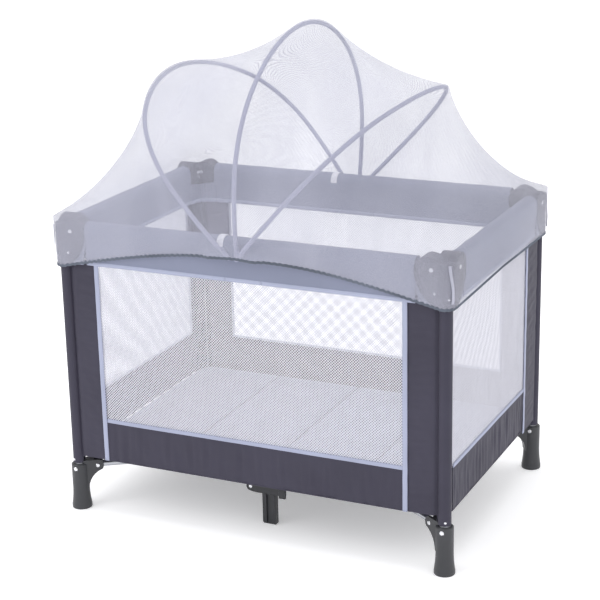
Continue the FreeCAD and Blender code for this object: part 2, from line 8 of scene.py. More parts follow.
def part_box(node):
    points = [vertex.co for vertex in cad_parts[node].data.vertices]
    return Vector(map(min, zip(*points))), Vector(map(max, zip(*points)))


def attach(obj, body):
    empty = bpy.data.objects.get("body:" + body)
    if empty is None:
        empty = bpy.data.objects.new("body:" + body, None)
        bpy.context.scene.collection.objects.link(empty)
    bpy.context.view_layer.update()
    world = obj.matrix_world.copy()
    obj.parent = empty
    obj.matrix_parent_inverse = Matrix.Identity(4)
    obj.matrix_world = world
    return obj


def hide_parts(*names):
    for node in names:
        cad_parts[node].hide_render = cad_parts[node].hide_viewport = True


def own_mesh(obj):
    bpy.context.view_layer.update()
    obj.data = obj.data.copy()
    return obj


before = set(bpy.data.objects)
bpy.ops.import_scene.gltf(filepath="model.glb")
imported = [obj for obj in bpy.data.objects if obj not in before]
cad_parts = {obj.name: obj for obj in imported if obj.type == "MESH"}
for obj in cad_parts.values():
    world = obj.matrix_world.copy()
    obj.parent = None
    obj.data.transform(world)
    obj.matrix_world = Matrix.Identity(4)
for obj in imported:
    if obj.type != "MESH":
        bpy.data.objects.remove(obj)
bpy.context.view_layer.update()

MM = 0.001
UP = Vector((0, 0, 1))


# ---- places read from the frame ----
def middle(node):
    low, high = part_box(node)
    return (Vector(low) + Vector(high)) / 2


def half_size(node, axis):
    low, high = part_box(node)
    return (high[axis] - low[axis]) / 2


POST_X = middle("post_fr").x
POST_Y = middle("post_br").y
RAIL_Z = middle("rail_front_left").z
CAP_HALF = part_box("cap_fr")[1][0] - POST_X
CAP_REACH = POST_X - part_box("cap_fr")[0][0]
COVER_HALF = half_size("rail_cover_front", 1)
COVER_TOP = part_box("rail_cover_front")[1][2]
COVER_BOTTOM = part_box("rail_cover_front")[0][2]
WALL_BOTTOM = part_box("wall_front")[0][2]
LATCH_PIVOT = {"front": 46.3 * MM, "back": 46.3 * MM, "right": 22.7 * MM, "left": 22.7 * MM}
HOOP_Z = 705 * MM          # height of the hoops' pivots
# Pivot x, lean, half widths of foot and shoulder, heights of crown and shoulder, shoulder radius
HOOPS = {
    "left": (-34 * MM, -39.0, 355.0 * MM, 379 * MM, 477 * MM, 190 * MM, 250 * MM),
    "centre": (-11 * MM, 2.0, 357.4 * MM, 371 * MM, 487 * MM, 160 * MM, 300 * MM),
    "right": (-11 * MM, 43.0, 359.8 * MM, 385 * MM, 458 * MM, 200 * MM, 240 * MM),
}
NET_OFFSET = 8.6 * MM
NET_X = 512 * MM
NET_Y = 358 * MM
NET_RIM_Z = 759 * MM

CORNERS = {"fl": (-1, -1), "fr": (1, -1), "br": (1, 1), "bl": (-1, 1)}
SIDES = ("front", "right", "back", "left")
LONG_SIDES = ("front", "back")
# Corners at the low and the high end of each side, along that side's own direction.
SIDE_ENDS = {"front": ("fl", "fr"), "right": ("fr", "br"), "back": ("br", "bl"), "left": ("bl", "fl")}


def place(side, along, out, z):
    """Point on one side of the yard: along it, out from the centre line, and height."""
    if side == "front":
        return Vector((along, -out, z))
    if side == "back":
        return Vector((-along, out, z))
    if side == "right":
        return Vector((out, along, z))
    return Vector((-out, -along, z))


def by_corner(corner, a, b, z):
    """Point near a corner: a and b are inward from the post's axis, along X and along Y."""
    sx, sy = CORNERS[corner]
    return Vector((sx * (POST_X - a), sy * (POST_Y - b), z))


def half_length(side):
    return POST_X if side in LONG_SIDES else POST_Y


def half_depth(side):
    return POST_Y if side in LONG_SIDES else POST_X


# ---- material tools ----
def srgb(r, g, b):
    """Linear colour from 0-255 display values."""
    return tuple((c / 255) ** 2.2 for c in (r, g, b)) + (1.0,)


class Finish:
    """A material and short calls that add node detail to it."""

    def __init__(self, name, colour, rough=0.6, metallic=0.0, sheen=0.0, coat=0.0, gloss=0.5):
        self.mat = bpy.data.materials.new(name)
        self.mat.use_nodes = True
        self.tree = self.mat.node_tree
        self.bsdf = self.tree.nodes["Principled BSDF"]
        self.bsdf.inputs["Base Color"].default_value = colour
        self.bsdf.inputs["Roughness"].default_value = rough
        self.bsdf.inputs["Metallic"].default_value = metallic
        self.bsdf.inputs["Sheen Weight"].default_value = sheen
        self.bsdf.inputs["Sheen Roughness"].default_value = 0.5
        self.bsdf.inputs["Coat Weight"].default_value = coat
        self.bsdf.inputs["Specular IOR Level"].default_value = gloss
        self.coords = self.node("ShaderNodeTexCoord").outputs["Object"]
        self.height = None

    def node(self, kind, **settings):
        made = self.tree.nodes.new(kind)
        for key, value in settings.items():
            setattr(made, key, value)
        return made

    def link(self, a, b):
        self.tree.links.new(a, b)

    def math(self, operation, a, b=None):
        made = self.node("ShaderNodeMath", operation=operation)
        for socket, value in zip(made.inputs, (a, b)):
            if value is None:
                continue
            if isinstance(value, (int, float)):
                socket.default_value = value
            else:
                self.link(value, socket)
        return made.outputs[0]

    def noise(self, scale, detail=3.0, rough=0.55, stretch=(1, 1, 1)):
        source = self.coords
        if stretch != (1, 1, 1):
            mapping = self.node("ShaderNodeMapping")
            mapping.inputs["Scale"].default_value = stretch
            self.link(source, mapping.inputs["Vector"])
            source = mapping.outputs[0]
        made = self.node("ShaderNodeTexNoise")
        made.inputs["Scale"].default_value = scale
        made.inputs["Detail"].default_value = detail
        made.inputs["Roughness"].default_value = rough
        self.link(source, made.inputs["Vector"])
        return made.outputs["Fac"]

    def lines(self, direction, pitch):
        """|sin| ridges across a direction: 0 on a thread's line, 1 between two of them."""
        dot = self.node("ShaderNodeVectorMath", operation="DOT_PRODUCT")
        self.link(self.coords, dot.inputs[0])
        dot.inputs[1].default_value = direction
        wave = self.math("SINE", self.math("MULTIPLY", dot.outputs["Value"], math.pi / pitch))
        return self.math("ABSOLUTE", wave)

    def weave(self, pitch):
        """Plain weave: threads along all three axes, so it works on a sheet that faces any of them."""
        a = self.lines((1, 0, 0), pitch)
        b = self.lines((0, 1, 0), pitch)
        c = self.lines((0, 0, 1), pitch)
        return self.math("MULTIPLY", self.math("ADD", self.math("ADD", a, b), c), 0.34)

    def colour_from(self, factor, stops):
        made = self.node("ShaderNodeValToRGB")
        ramp = made.color_ramp
        while len(ramp.elements) < len(stops):
            ramp.elements.new(0.5)
        for element, (position, colour) in zip(ramp.elements, stops):
            element.position = position
            element.color = colour
        self.link(factor, made.inputs["Fac"])
        self.link(made.outputs["Color"], self.bsdf.inputs["Base Color"])

    def rough_from(self, factor, low, high):
        made = self.node("ShaderNodeMapRange")
        made.inputs["To Min"].default_value = low
        made.inputs["To Max"].default_value = high
        self.link(factor, made.inputs["Value"])
        self.link(made.outputs[0], self.bsdf.inputs["Roughness"])

    def bump(self, height, strength, distance):
        made = self.node("ShaderNodeBump")
        made.inputs["Strength"].default_value = strength
        made.inputs["Distance"].default_value = distance
        self.link(height, made.inputs["Height"])
        if self.height is not None:
            self.link(self.height, made.inputs["Normal"])
        self.height = made.outputs["Normal"]
        self.link(self.height, self.bsdf.inputs["Normal"])


def shade(colour, factor):
    return tuple(min(1.0, c * factor) for c in colour[:3]) + (1.0,)


def woven(name, colour, pitch, spread=0.12, rough=0.75, sheen=0.15, bump=0.35):
    """Woven polyester: weave bump, slow tone variation and slight creases."""
    f = Finish(name, colour, rough, sheen=sheen * 0.4, gloss=0.25)
    tone = f.noise(7.0, 5.0)
    f.colour_from(tone, [(0.3, shade(colour, 1 - spread)), (0.7, shade(colour, 1 + spread))])
    f.bump(f.weave(pitch), bump, 0.3 * MM)
    f.bump(f.noise(26.0, 4.0), 0.25, 1.6 * MM)
    f.rough_from(f.noise(40.0), rough - 0.08, rough + 0.08)
    return f.mat


def moulded(name, colour, rough, grain=900.0, coat=0.0, spread=0.15):
    """Moulded plastic: fine spark grain, slow tone change and handling marks in the gloss."""
    f = Finish(name, colour, rough, coat=coat)
    tones = [(0.3, shade(colour, 1 - spread)), (0.75, shade(colour, 1 + spread))]
    f.colour_from(f.noise(14.0, 4.0), tones)
    f.bump(f.noise(grain, 2.0), 0.12, 0.15 * MM)
    f.bump(f.noise(60.0, 2.0), 0.08, 0.5 * MM)
    f.rough_from(f.noise(30.0, 5.0), rough - 0.1, rough + 0.12)
    return f.mat


def metal(name, colour, rough, brushed=(1, 1, 1)):
    f = Finish(name, colour, rough, metallic=1.0)
    f.colour_from(f.noise(9.0), [(0.3, shade(colour, 0.88)), (0.7, shade(colour, 1.05))])
    streak = f.noise(300.0, 4.0, stretch=brushed)
    f.bump(streak, 0.15, 0.08 * MM)
    f.rough_from(streak, rough - 0.08, rough + 0.15)
    return f.mat


def mesh_cloth(name, across):
    """White play-yard mesh: diamond holes between round threads, open enough to see through."""
    colour = srgb(226, 226, 236)
    f = Finish(name, colour, 0.6, sheen=0.1)
    a = f.lines((across[0], across[1], 1), MESH_PITCH)
    b = f.lines((across[0], across[1], -1), MESH_PITCH)
    nearest = f.math("MINIMUM", a, b)
    f.link(f.math("LESS_THAN", nearest, MESH_THREAD), f.bsdf.inputs["Alpha"])
    f.colour_from(f.noise(60.0), [(0.3, shade(colour, 0.94)), (0.7, shade(colour, 1.03))])
    f.bump(f.math("SUBTRACT", 1.0, nearest), 0.5, 0.5 * MM)
    return f.mat


def net_cloth(name, cover):
    """Fine insect net: soft pale threads that cover a little under half of the film."""
    colour = srgb(189, 190, 206)
    f = Finish(name, colour, 0.7, sheen=0.2)
    a = f.lines((1, 0.35, 0.2), 1.9 * MM)
    b = f.lines((-0.2, 0.5, 1), 1.9 * MM)
    threads = f.math("SUBTRACT", 1.0, f.math("MINIMUM", a, b))
    veil = f.math("MULTIPLY", f.math("POWER", threads, 3.0), cover)
    streak = f.noise(5.0, 4.0, stretch=(1, 0.25, 0.25))
    cloud = f.math("MULTIPLY", streak, cover * 0.84)
    f.link(f.math("ADD", veil, cloud), f.bsdf.inputs["Alpha"])
    f.colour_from(f.noise(5.0, 4.0), [(0.3, shade(colour, 0.96)), (0.7, colour)])
    return f.mat


MESH_PITCH = 6.9 * MM
MESH_THREAD = 0.445
NET_COVER = 0.66
# Extra cover of the pale corner folds: a doubled fold that also paints the corner's highlight
FOLD_HIGHLIGHT_COVER = 1.2

SLATE = srgb(62, 60, 73)
LAVENDER = srgb(126, 131, 151)
BINDING = srgb(160, 165, 188)

paint = {
    "slate": woven("slate_cloth", SLATE, 0.9 * MM, 0.08, 0.62, 0.1, 0.3),
    "lining": woven("lining_cloth", srgb(104, 100, 114), 0.9 * MM, 0.06, 0.75, 0.1, 0.3),
    "cover": woven("cover_cloth", LAVENDER, 0.8 * MM, 0.05, 0.7, 0.2, 0.25),
    "binding": woven("binding_tape", BINDING, 1.4 * MM, 0.05, 0.6, 0.15, 0.5),
    "mesh_long": mesh_cloth("mesh_long", (1, 0)),
    "mesh_short": mesh_cloth("mesh_short", (0, 1)),
    "net": net_cloth("net_film", NET_COVER),
    # Denser net for the corner folds: a doubled fold and a painted highlight
    "net_fold_and_highlight": net_cloth("net_fold_and_highlight", FOLD_HIGHLIGHT_COVER),
    "hem": woven("net_hem", srgb(100, 106, 118), 1.2 * MM, 0.25, 0.8, 0.1, 0.6),
    "mattress": woven("mattress_cloth", srgb(163, 167, 183), 2.2 * MM, 0.03, 0.8, 0.15, 0.5),
    "white": woven("white_tape", srgb(245, 245, 250), 1.0 * MM, 0.02, 0.6, 0.1, 0.5),
    "floor": woven("floor_cloth", srgb(58, 58, 68), 1.0 * MM, 0.1, 0.7, 0.1, 0.4),
    "strap": woven("strap_webbing", srgb(150, 40, 44), 1.8 * MM, 0.08, 0.65, 0.2, 0.7),
    "hoop": woven("hoop_sleeve", srgb(163, 165, 188), 1.0 * MM, 0.06, 0.6, 0.1, 0.5),
    "cap": moulded("cap_plastic", srgb(40, 37, 50), 0.5, 700.0, 0.0, 0.06),
    "foot": moulded("foot_plastic", srgb(52, 53, 57), 0.42, 900.0, 0.1, 0.1),
    "hub": moulded("hub_plastic", srgb(52, 53, 58), 0.45),
    "black": moulded("black_plastic", srgb(44, 45, 49), 0.36),
    "latch": moulded("latch_plastic", srgb(66, 66, 72), 0.4),
    "button": moulded("button_plastic", srgb(170, 50, 46), 0.3, 700.0, 0.3),
    "post": metal("post_metal", srgb(190, 192, 198), 0.3, (1, 1, 0.02)),
    "tube": metal("tube_steel", srgb(186, 188, 194), 0.26, (0.04, 0.06, 1)),
    "rivet": metal("rivet_steel", srgb(225, 226, 230), 0.16),
    "seam": woven("mattress_seam", srgb(140, 143, 158), 0.5 * MM, 0.05),
}


# Material of each CAD node, by the start of its name.
for prefix, key in {
    "post_": "post", "foot_": "foot", "cap_": "cap", "rivets_": "rivet", "base_tube_": "tube",
    "hub": "hub", "hub_pins": "rivet", "lift_strap": "strap", "mid_arm_": "tube",
    "mid_leg_": "black", "rail_front_": "tube", "rail_back_": "tube", "rail_left_": "tube",
    "rail_right_": "tube", "latch_": "latch", "button_": "button", "hoop_": "hoop",
}.items():
    for name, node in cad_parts.items():
        if name.startswith(prefix):
            node.data.materials.clear()
            node.data.materials.append(paint[key])


# ---- mesh tools ----
def mesh_piece(name, points, faces, key, body):
    data = bpy.data.meshes.new(name)
    data.from_pydata([tuple(p) for p in points], [], faces)
    data.validate()
    data.update()
    made = bpy.data.objects.new(name, data)
    bpy.context.scene.collection.objects.link(made)
    data.materials.append(paint[key])
    for polygon in data.polygons:
        polygon.use_smooth = True
    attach(made, body)
    return made


def grid_faces(rows, columns, wrap_columns=False, wrap_rows=False):
    faces = []
    last_row = rows if wrap_rows else rows - 1
    last_column = columns if wrap_columns else columns - 1
    for i in range(last_row):
        for j in range(last_column):
            i2, j2 = (i + 1) % rows, (j + 1) % columns
            faces.append((i * columns + j, i * columns + j2, i2 * columns + j2, i2 * columns + j))
    return faces


def tube_faces(rows, columns):
    """Faces of a tube of so many rings, with both its ends closed."""
    faces = grid_faces(rows, columns, wrap_columns=True)
    faces.append(tuple(range(columns))[::-1])
    faces.append(tuple((rows - 1) * columns + k for k in range(columns)))
    return faces


def thicken(piece, thickness, offset=0.0):
    """Gives a single-surface piece its cloth thickness, and sharp edges where it turns."""
    solid = piece.modifiers.new("thickness", "SOLIDIFY")
    solid.thickness = thickness
    solid.offset = offset
    graph = bpy.context.evaluated_depsgraph_get()
    data = bpy.data.meshes.new_from_object(piece.evaluated_get(graph))
    piece.modifiers.clear()
    piece.data = data
    data.set_sharp_from_angle(angle=math.radians(50))


def ripple(point, scale, seed=0.0):
    """Smooth signed noise at a point, about -1 to 1."""
    return noise.noise(Vector(point) * scale + Vector((seed, seed * 1.7, -seed)))


def heading(line, i):
    """Direction of a line of points at one of them."""
    return (line[min(i + 1, len(line) - 1)] - line[max(i - 1, 0)]).normalized()


def arc(radius, first, last, count, centre=(0.0, 0.0)):
    """Points on a circle in a plane, from one angle to another in degrees."""
    turns = [math.radians(first + (last - first) * k / (count - 1)) for k in range(count)]
    return [(centre[0] + radius * math.cos(t), centre[1] + radius * math.sin(t)) for t in turns]


def ring(centre, u, v, radius, sides):
    """Points round a centre, in the plane of two unit directions."""
    turns = [2 * math.pi * k / sides for k in range(sides)]
    return [centre + u * (radius * math.cos(t)) + v * (radius * math.sin(t)) for t in turns]


def ribbon(name, line, across, width, thickness, key, body):
    """Flat tape with soft edges along a line of points; across(i) is its width direction."""
    count = len(line)
    profile = [(-0.5, 0.15), (-0.42, 0.5), (0.42, 0.5), (0.5, 0.15),
               (0.5, -0.15), (0.42, -0.5), (-0.42, -0.5), (-0.5, -0.15)]
    points = []
    for i, p in enumerate(line):
        ahead = heading(line, i)
        wide = across(i).normalized()
        up = ahead.cross(wide).normalized()
        for u, v in profile:
            points.append(p + wide * (u * width) + up * (v * thickness))
    return mesh_piece(name, points, tube_faces(count, len(profile)), key, body)


def rod(name, line, radius, key, body):
    """Round piping along a line of points."""
    count, sides = len(line), 10
    points = []
    side = None
    for i, p in enumerate(line):
        ahead = heading(line, i)
        if side is None:
            side = ahead.orthogonal().normalized()
        side = (side - ahead * side.dot(ahead)).normalized()
        points += ring(p, side, ahead.cross(side), radius, sides)
    return mesh_piece(name, points, tube_faces(count, sides), key, body)


def steps(low, high, count):
    return [low + (high - low) * k / (count - 1) for k in range(count)]


# ---- corner sleeves with their flat strips ----
SLEEVE_R = 14.7 * MM
SLEEVE_BOTTOM = 123 * MM
SLEEVE_TOP = COVER_BOTTOM + 6 * MM
STRIP_LONG = 91 * MM       # reach of the flat strip along a long side, from the post axis
STRIP_SHORT = {"right": 124 * MM, "left": 34 * MM}     # and along a short side, at its back corner
LINING_IN = 1.8 * MM       # from a strip or band to the paler lining inside it
STRIP_OUT = 12.5 * MM
TAPE = 12 * MM
CLOTH_THICK = 1.2 * MM


def strip_section(reach):
    """Half of a sleeve's outline along a wall: (inward along the wall, outward), post at 0, 0."""
    run = reach - max(0.26 * reach, 23.5 * MM)
    flat = [(reach - run * k / 9, STRIP_OUT - 1.5 * MM * (k / 9) ** 2) for k in range(10)]
    crease = [(20.5 * MM, 9 * MM), (17.5 * MM, 6.2 * MM)]
    return flat + crease


def sleeve(corner):
    """Slate sleeve round a post, and a flat strip along each wall that has one."""
    sx, sy = CORNERS[corner]
    along_x = strip_section(STRIP_LONG)
    sleeve_sheet("sleeve_" + corner, corner, along_x + arc(SLEEVE_R, 20, 352, 22), len(along_x))
    sleeve_lining("strip_lining_" + corner, corner, along_x)
    if sy > 0:
        other = strip_section(STRIP_SHORT["right" if sx > 0 else "left"])
        sleeve_sheet("side_strip_" + corner, corner, other + [(12 * MM, 8 * MM)], len(other), True)
        sleeve_lining("side_lining_" + corner, corner, other, True)


def sleeve_lining(name, corner, section, swapped=False):
    """Paler cloth behind the flat part of a strip."""
    inner = [(inward, outward - LINING_IN) for inward, outward in section[:10]]
    sleeve_sheet(name, corner, inner, len(inner), swapped, "lining")


def sleeve_sheet(name, corner, outline, flat_count, swapped=False, key="slate"):
    """Upright sheet: the outline's first flat_count points are the strip, the rest round the post."""
    sx, sy = CORNERS[corner]
    rows = 150
    points = []
    for share in steps(0, 1, rows):
        for j, (inward, outward) in enumerate(outline):
            on_post = j >= flat_count
            low = SLEEVE_BOTTOM if on_post else WALL_BOTTOM - 1 * MM
            z = low + (SLEEVE_TOP - low) * share
            wave = ripple((inward * 4, z * 2.6, 0), 16, 3 + sx + 2 * sy) * 1.1 * MM
            edge = min(1.0, max(0.0, inward) / (80 * MM))
            fine = ripple((inward * 0.5, z * 2.6 + inward * 0.3, 0), 30, 9 + sx) * 2.0 * MM * edge
            if not on_post:
                fine *= min(1.0, max(0.25, (outline[0][0] - inward) / (24 * MM)))
            out = outward + (wave + fine) * (0.22 if on_post else 1.0)
            a, b = (-out, inward) if swapped else (inward, -out)
            points.append(by_corner(corner, a, b, z))
    faces = grid_faces(rows, len(outline))
    made = mesh_piece(name, points, faces, key, "corner_" + corner)
    thicken(made, CLOTH_THICK)


def upright_tape(side, end, along, body):
    """Light binding down one edge of a mesh window, sewn to the strip."""
    out = half_depth(side) + STRIP_OUT + 2.6 * MM
    line = []
    for z in steps(WALL_BOTTOM - 1 * MM, COVER_BOTTOM + 4 * MM, 60):
        wave = ripple((along * 3, z * 3, 1), 12, 5) * 0.8 * MM
        line.append(place(side, along, out + wave, z))
    wide = place(side, 1, 0, 0)
    ribbon("window_tape_%s_%s" % (side, end), line, lambda i: wide, TAPE, 2.2 * MM, "binding", body)


for corner in CORNERS:
    sleeve(corner)


# ---- walls: mesh windows, bottom bands and bindings ----
BAND_TOP = {"front": 246 * MM, "back": 246 * MM, "right": 258 * MM, "left": 258 * MM}
BAND_BOTTOM = {"front": WALL_BOTTOM, "back": WALL_BOTTOM, "right": 153 * MM, "left": WALL_BOTTOM}


def window_ends(side):
    """Reach of the window and band along a side, low and high end."""
    half = half_length(side)
    if side in LONG_SIDES:
        return -half + STRIP_LONG, half - STRIP_LONG
    plain = half - 12 * MM
    strip = half - STRIP_SHORT[side]
    return (-plain, strip) if side == "right" else (-strip, plain)


def wall_sheet(name, side, z_low, z_high, key, lift, columns, rows, wrinkle, puckers=0.0):
    ends = window_ends(side)
    out = half_depth(side) + lift
    points = []
    for z in steps(z_low, z_high, rows):
        for along in steps(ends[0], ends[1], columns):
            edge = min(along - ends[0], ends[1] - along, z - z_low, z_high - z)
            calm = min(1.0, max(0.0, edge) / (40 * MM))
            wave = ripple((along, z, 0), 7, 2) * wrinkle * calm
            wave += ripple((along * 3, z, 4), 17, 6) * wrinkle * 0.3 * calm
            if puckers:
                below = max(0.0, z_high - z) / (55 * MM)
                depth = puckers * below * math.exp(1 - below)
                wave += ripple((along * 4.5, z * 0.5, 7), 15, 12) * depth
            points.append(place(side, along, out + wave, z))
    owner = "corner_" + SIDE_ENDS[side][0]
    return mesh_piece(name, points, grid_faces(rows, columns), key, owner)


def squash_wall(piece):
    """Gives a piece of wall its own copy of its mesh."""
    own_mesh(piece)


def wall(side):
    ends = window_ends(side)
    band_low, band_high = BAND_BOTTOM[side], BAND_TOP[side]
    top = COVER_BOTTOM + 8 * MM
    long_side = side in LONG_SIDES
    low_corner, high_corner = ("corner_" + corner for corner in SIDE_ENDS[side])
    cloth = "mesh_long" if long_side else "mesh_short"
    window = wall_sheet("mesh_window_" + side, side, band_high, top, cloth, STRIP_OUT - 0.6 * MM,
                        60, 40, 2.5 * MM)
    thicken(window, 0.3 * MM if long_side else 0.9 * MM)
    squash_wall(window)
    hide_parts("wall_" + side)
    for name, key, inward in (("bottom_band_", "slate", 0.0), ("band_lining_", "lining", LINING_IN)):
        band = wall_sheet(name + side, side, band_low, band_high + 3 * MM, key,
                          STRIP_OUT + 0.4 * MM - inward, 150, 26, 2.6 * MM, 3.6 * MM)
        thicken(band, CLOTH_THICK)
        squash_wall(band)
    out = half_depth(side) + STRIP_OUT + 1.2 * MM
    line = [place(side, a, out + ripple((a, 0, 0), 9, 4) * 1.0 * MM, band_high + 4 * MM)
            for a in steps(ends[0] + 2 * MM, ends[1] - 2 * MM, 90)]
    tape = ribbon("band_tape_" + side, line, lambda i: UP, 10 * MM, 2 * MM, "binding", low_corner)
    squash_wall(tape)
    under = [place(side, a, out - 1.0 * MM, band_low) for a in steps(ends[0], ends[1], 60)]
    cord = rod("band_seam_" + side, under, 1.8 * MM, "slate", low_corner)
    squash_wall(cord)
    if long_side or side == "left":
        upright_tape(side, "low", ends[0], low_corner)
    if long_side or side == "right":
        upright_tape(side, "high", ends[1], high_corner)


for side in SIDES:
    wall(side)


# ---- padded rail covers ----
PAD_LOW = 702 * MM


def pad_section():
    """Outline of the padded upper part round the rail: (outward, height)."""
    half = COVER_HALF
    outline = arc(half, 180, 0, 15, (0.0, COVER_TOP - half))
    lower = [(half, 722 * MM), (half - 0.6 * MM, 712 * MM), (half - 2 * MM, PAD_LOW)]
    return [(-a, z) for a, z in reversed(lower)] + outline + lower


def skirt_section():
    """Outline of the lower part, from the inner side round the bottom edge to the outer side."""
    half = COVER_HALF
    outer = [(half - 1.4 * MM, 709 * MM), (half - 2.2 * MM, 700 * MM), (half - 3.2 * MM, 688 * MM),
             (half - 4.0 * MM, 674 * MM), (half - 4.4 * MM, 662 * MM),
             (half - 5 * MM, COVER_BOTTOM + 2 * MM)]
    inner = [(-a, z) for a, z in reversed(outer)]
    return outer + [(half - 10 * MM, COVER_BOTTOM)] + [(-half + 10 * MM, COVER_BOTTOM)] + inner


def piping(name, lip, body):
    """Light binding along a lower edge of the cover."""
    return ribbon(name, lip, lambda i: UP, 10 * MM, 2.6 * MM, "binding", body)


def cover_tube(name, side, start, stop, section, body, puff):
    """Cover piece from one place along a rail to another, with sewn-in fullness."""
    count = max(6, int(abs(stop - start) / (7 * MM)))
    points = []
    out0 = half_depth(side)
    for i, along in enumerate(steps(start, stop, count)):
        for j, (a, z) in enumerate(section):
            n = ripple((along, a * 2, z * 1.5), 20, 11) * puff
            n += ripple((along * 2.5, a * 3, z), 34, 15) * puff * 0.5
            direction = Vector((a, z - RAIL_Z)).normalized()
            points.append(place(side, along, out0 + a + direction.x * n, z + direction.y * n))
    return mesh_piece(name, points, grid_faces(count, len(section)), "cover", body)


def cover(side):
    half = half_length(side)
    outer = half - CAP_REACH + 1.5 * MM
    pivot = LATCH_PIVOT[side]
    names = {"front": ("left", "right"), "right": ("front", "back"),
             "back": ("right", "left"), "left": ("back", "front")}[side]
    spans = [
        (names[0], -outer, -pivot, "rail_%s_%s" % (side, names[0])),
        ("middle", -pivot, pivot, "latch_" + side),
        (names[1], pivot, outer, "rail_%s_%s" % (side, names[1])),
    ]
    for label, start, stop, body in spans:
        label = side + "_" + label
        pad = cover_tube("rail_pad_" + label, side, start, stop, pad_section(), body, 0.8 * MM)
        thicken(pad, 1.6 * MM, -1.0)
        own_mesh(pad)
        skirt = cover_tube("rail_skirt_" + label, side, start, stop, skirt_section(), body, 0.9 * MM)
        thicken(skirt, 1.4 * MM, -1.0)
        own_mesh(skirt)
        if start == -outer:
            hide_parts("rail_cover_" + side)
        for sign, face in ((1, "outer"), (-1, "inner")):
            lip = [place(side, a, half_depth(side) + sign * (COVER_HALF - 5.5 * MM)
                         + ripple((a, sign, 0), 14, 8) * 0.8 * MM, COVER_BOTTOM - 1 * MM)
                   for a in steps(start, stop, max(6, int(abs(stop - start) / (9 * MM))))]
            edging = piping("rail_piping_%s_%s" % (label, face), lip, body)
            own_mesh(edging)


for side in SIDES:
    cover(side)


def fold_flat(piece):
    """Gives a corner piece of the cover its own copy of its mesh."""
    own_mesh(piece)


def corner_piping(name, corner, path):
    lip = [by_corner(corner, a, b, COVER_BOTTOM - 1 * MM) for a, b in path]
    fold_flat(piping(name + corner, lip, "corner_" + corner))


def corner_skirt(corner):
    """Cover fabric round the outside and the inside of a corner, under the cap's lobes."""
    sx, sy = CORNERS[corner]
    r = COVER_HALF - 1.0 * MM
    reach = CAP_REACH + 1 * MM
    path = [(reach - (reach - 4 * MM) * k / 8, -r) for k in range(9)]
    path += arc(r, 270, 180, 9)[1:-1]
    path += [(y, x) for x, y in reversed(path[:9])]
    rows = 12
    points = []
    for z in steps(COVER_BOTTOM, 728 * MM, rows):
        shrink = 4.0 * MM * (1 - min(1.0, (z - COVER_BOTTOM) / (55 * MM)))
        for a, b in path:
            inner = Vector((a, b)) * (1 - (shrink / r * 0.9 if min(a, b) < 0 else 0))
            fold = ripple((a * 2, b * 2, z), 26, 21) * 0.7 * MM
            p = by_corner(corner, inner.x, inner.y, z)
            outward = Vector((-a, -b)).normalized() if min(a, b) > 0 else Vector((0, 0))
            points.append(p + Vector((sx * outward.x, sy * outward.y, 0)) * fold)
    made = mesh_piece("corner_skirt_" + corner, points, grid_faces(rows, len(path)), "cover",
                      "corner_" + corner)
    thicken(made, 1.4 * MM)
    fold_flat(made)
    corner_piping("corner_piping_", corner, [Vector(p) * (1 - (4.0 * MM / r) * 0.9) for p in path])


def inner_corner(corner):
    """Cover fabric pulled across the inside of a corner, gathered under the cap."""
    sx, sy = CORNERS[corner]
    reach = CAP_REACH + 2 * MM
    inside = COVER_HALF + 2.4 * MM
    half = [(reach, COVER_HALF - 4.6 * MM), (reach - 8 * MM, inside - 1 * MM),
            (reach - 20 * MM, inside), (reach - 31 * MM, inside + 3.5 * MM)]
    corners = half + [(31 * MM, 31 * MM)] + [(b, a) for a, b in reversed(half)]
    path = []
    for (a0, b0), (a1, b1) in zip(corners, corners[1:]):
        path += [(a0 + (a1 - a0) * k / 6, b0 + (b1 - b0) * k / 6) for k in range(6)]
    path.append(corners[-1])
    top = 703 * MM
    rows = 18
    points = []
    for t in steps(0, 1, rows):
        for j, (a, b) in enumerate(path):
            middle_share = 1 - abs(2 * j / (len(path) - 1) - 1)
            z = COVER_BOTTOM + (top - 9 * MM * middle_share - COVER_BOTTOM) * t
            gather = math.sin(j * 1.35 + 0.6 * sx + sy) * 1.5 * MM * t * min(1.0, middle_share * 2.2)
            pull = (1.0 - 0.12 * t * middle_share) + gather / (31 * MM)
            points.append(by_corner(corner, a * pull, b * pull, z))
    made = mesh_piece("inner_corner_" + corner, points, grid_faces(rows, len(path)), "cover",
                      "corner_" + corner)
    thicken(made, 1.4 * MM)
    fold_flat(made)
    corner_piping("inner_piping_", corner, path)


for corner in CORNERS:
    corner_skirt(corner)
    inner_corner(corner)


def rounded(x, y, half_x, half_y, radius):
    """A place on a quarter rectangle, drawn in where it lies outside the corner's circle."""
    over_x, over_y = x - (half_x - radius), y - (half_y - radius)
    if over_x > 0 and over_y > 0:
        far = max(over_x, over_y) / math.hypot(over_x, over_y)
        return half_x - radius + over_x * far, half_y - radius + over_y * far
    return x, y


def floor_quarter(corner):
    sx, sy = CORNERS[corner]
    low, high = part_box("floor_fabric")
    points = []
    count = 26
    for x in steps(0, high[0], count):
        for y in steps(0, high[1], count):
            a, b = rounded(x, y, high[0], high[1], 45 * MM)
            z = low[2] + 0.4 * MM + ripple((a * sx, b * sy, 0), 9, 31) * 0.5 * MM
            points.append(Vector((sx * a, sy * b, z)))
    made = mesh_piece("floor_cloth_" + corner, points, grid_faces(count, count), "floor",
                      "tube_" + corner)
    thicken(made, 1.0 * MM)
    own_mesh(made)
    if corner == "fl":
        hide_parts("floor_fabric")


for corner in CORNERS:
    floor_quarter(corner)


